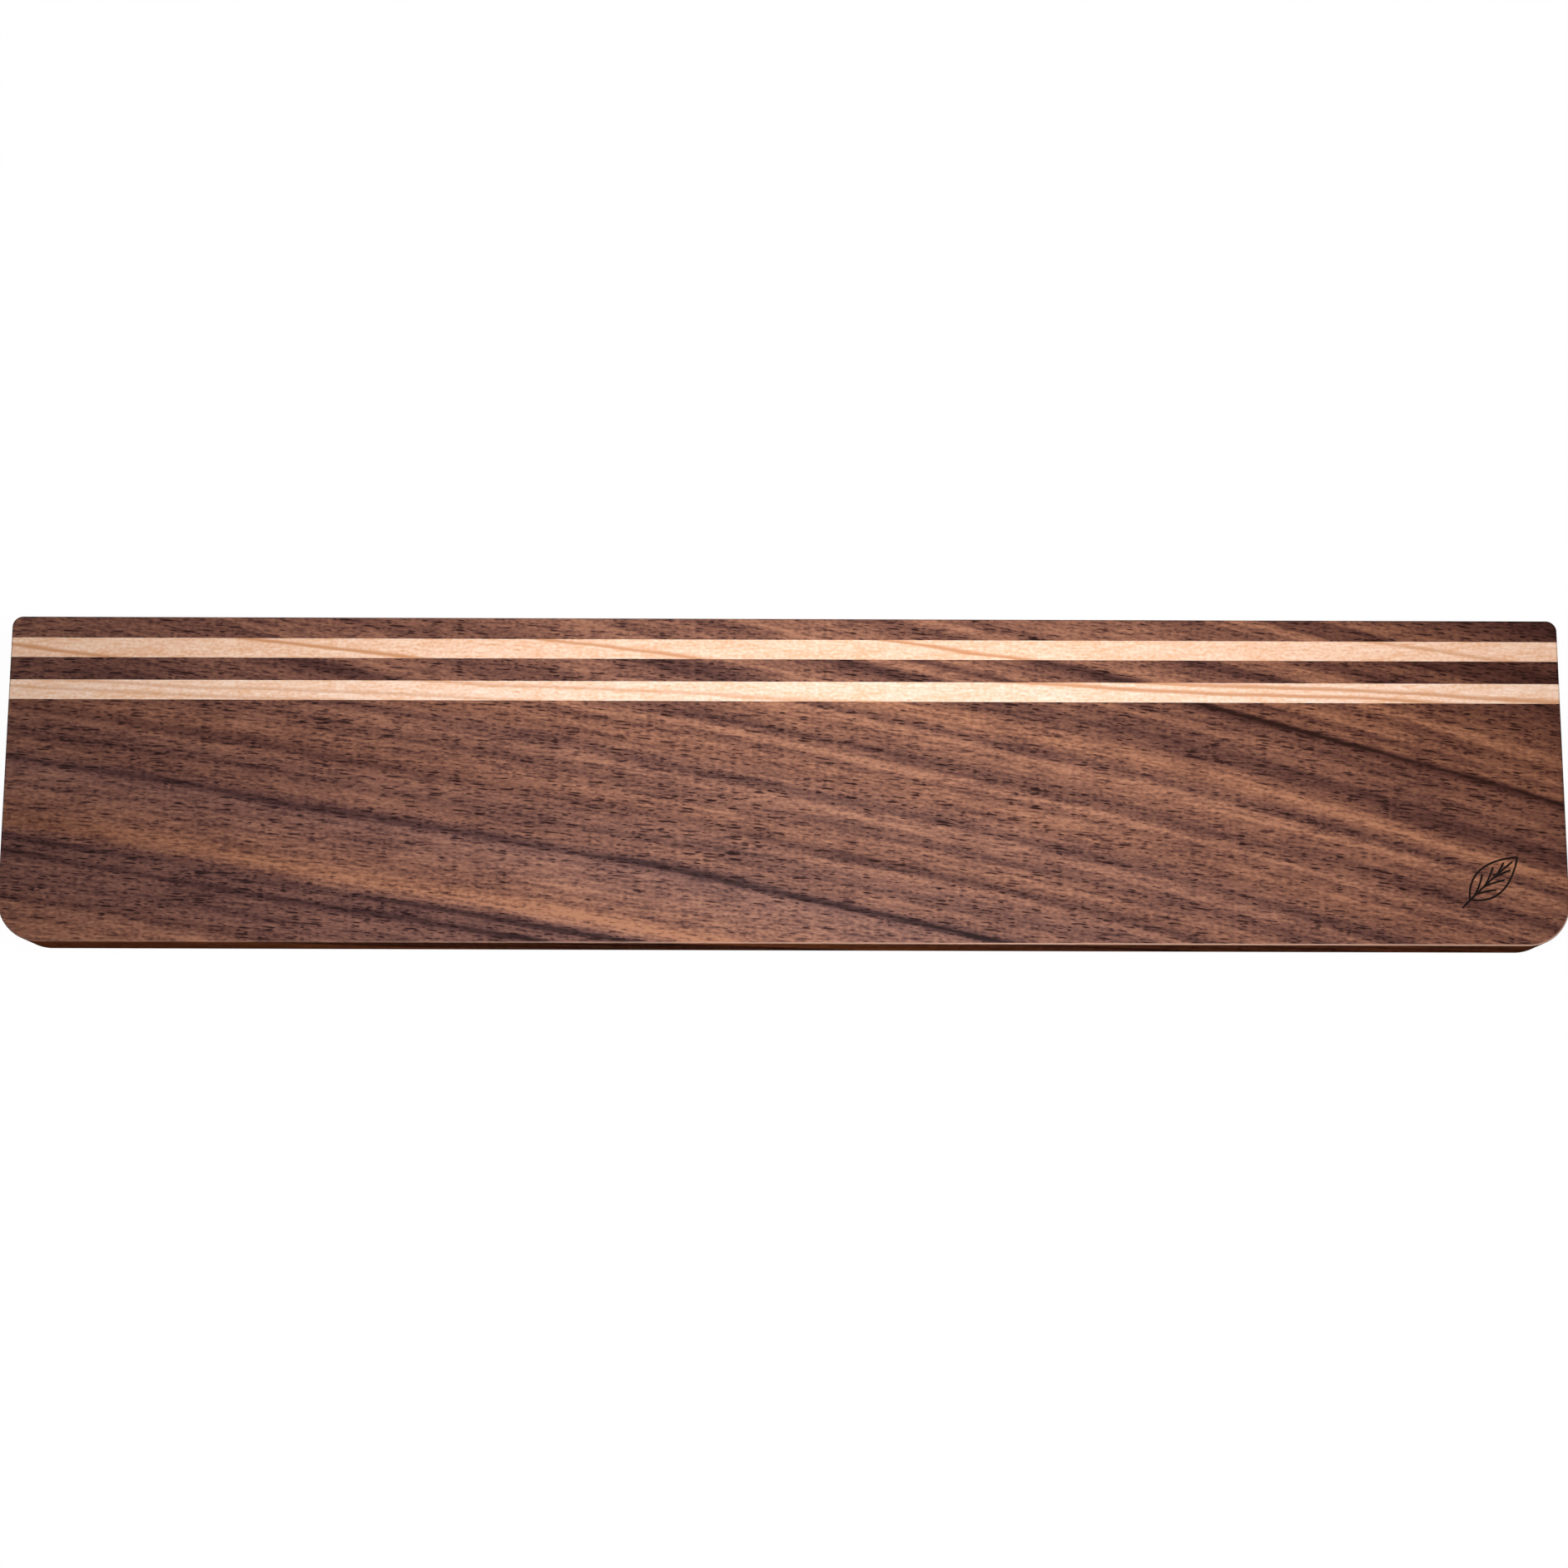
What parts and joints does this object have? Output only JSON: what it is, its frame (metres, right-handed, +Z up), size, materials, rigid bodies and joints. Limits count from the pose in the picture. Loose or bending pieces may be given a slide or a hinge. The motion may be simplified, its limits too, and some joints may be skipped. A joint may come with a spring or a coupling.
{
  "type": "wrist rest",
  "caption": "Flat wooden wrist rest in walnut with maple stripes near its rear edge, rounded front corners and recessed rubber feet.",
  "frame": {"origin": "centre of the footprint, on the plane that the soles of the feet stand on", "axes": "+X to the user's right along the length, +Y away from the user towards the keyboard, +Z up out of the palm face"},
  "size_m": [0.44, 0.0932, 0.018],
  "materials": {
    "walnut": "sanded and oiled American black walnut",
    "maple": "sanded and oiled hard maple",
    "black_rubber": "moulded matt rubber",
    "foam_tape": "double-sided foam tape"
  },
  "bodies": {
    "root": {"walnut_rear_strip": "walnut", "maple_rear_stripe": "maple", "walnut_middle_strip": "walnut", "maple_front_stripe": "maple", "walnut_front_board": "walnut", "rubber_foot_front_left": "black_rubber", "rubber_foot_front_middle": "black_rubber", "rubber_foot_front_right": "black_rubber", "rubber_foot_rear_left": "black_rubber", "rubber_foot_rear_middle": "black_rubber", "rubber_foot_rear_right": "black_rubber", "foot_tape_front_left": "foam_tape", "foot_tape_front_middle": "foam_tape", "foot_tape_front_right": "foam_tape", "foot_tape_rear_left": "foam_tape", "foot_tape_rear_middle": "foam_tape", "foot_tape_rear_right": "foam_tape"}
  },
  "joints": []
}
